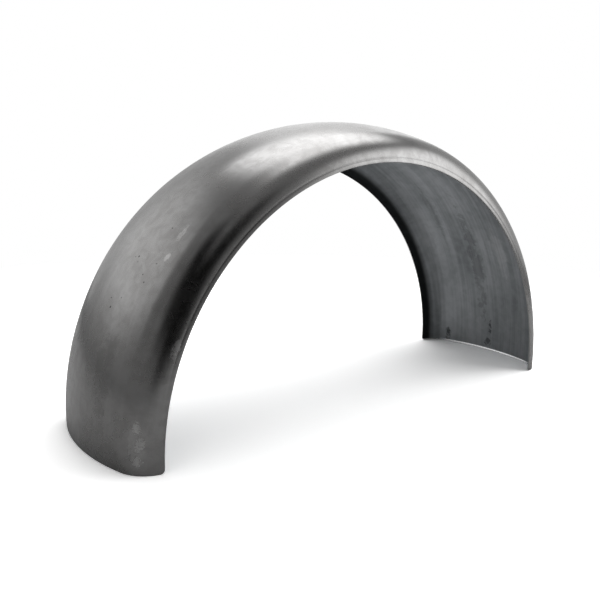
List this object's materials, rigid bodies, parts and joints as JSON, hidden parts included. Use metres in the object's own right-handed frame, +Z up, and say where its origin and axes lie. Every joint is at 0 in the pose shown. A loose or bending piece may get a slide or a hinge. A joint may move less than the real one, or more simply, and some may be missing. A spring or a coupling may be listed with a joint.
{
  "type": "motorcycle rear fender",
  "caption": "Half-ring rear mudguard in bare sheet steel with a low crown, soft shoulders and short flared skirts; stands on its two trimmed ends.",
  "frame": {"origin": "on the plane of the two trimmed ends, midway between them and midway across the wheel", "axes": "+X from end to end along the wheel's rolling direction, +Y across the wheel along its axle, +Z up towards the crown"},
  "size_m": [0.6858, 0.2158, 0.351],
  "materials": {
    "raw_steel": "bare mill-finish steel, satin, with darker mottling and light stains"
  },
  "bodies": {
    "root": {"fender": "raw_steel"}
  },
  "joints": []
}
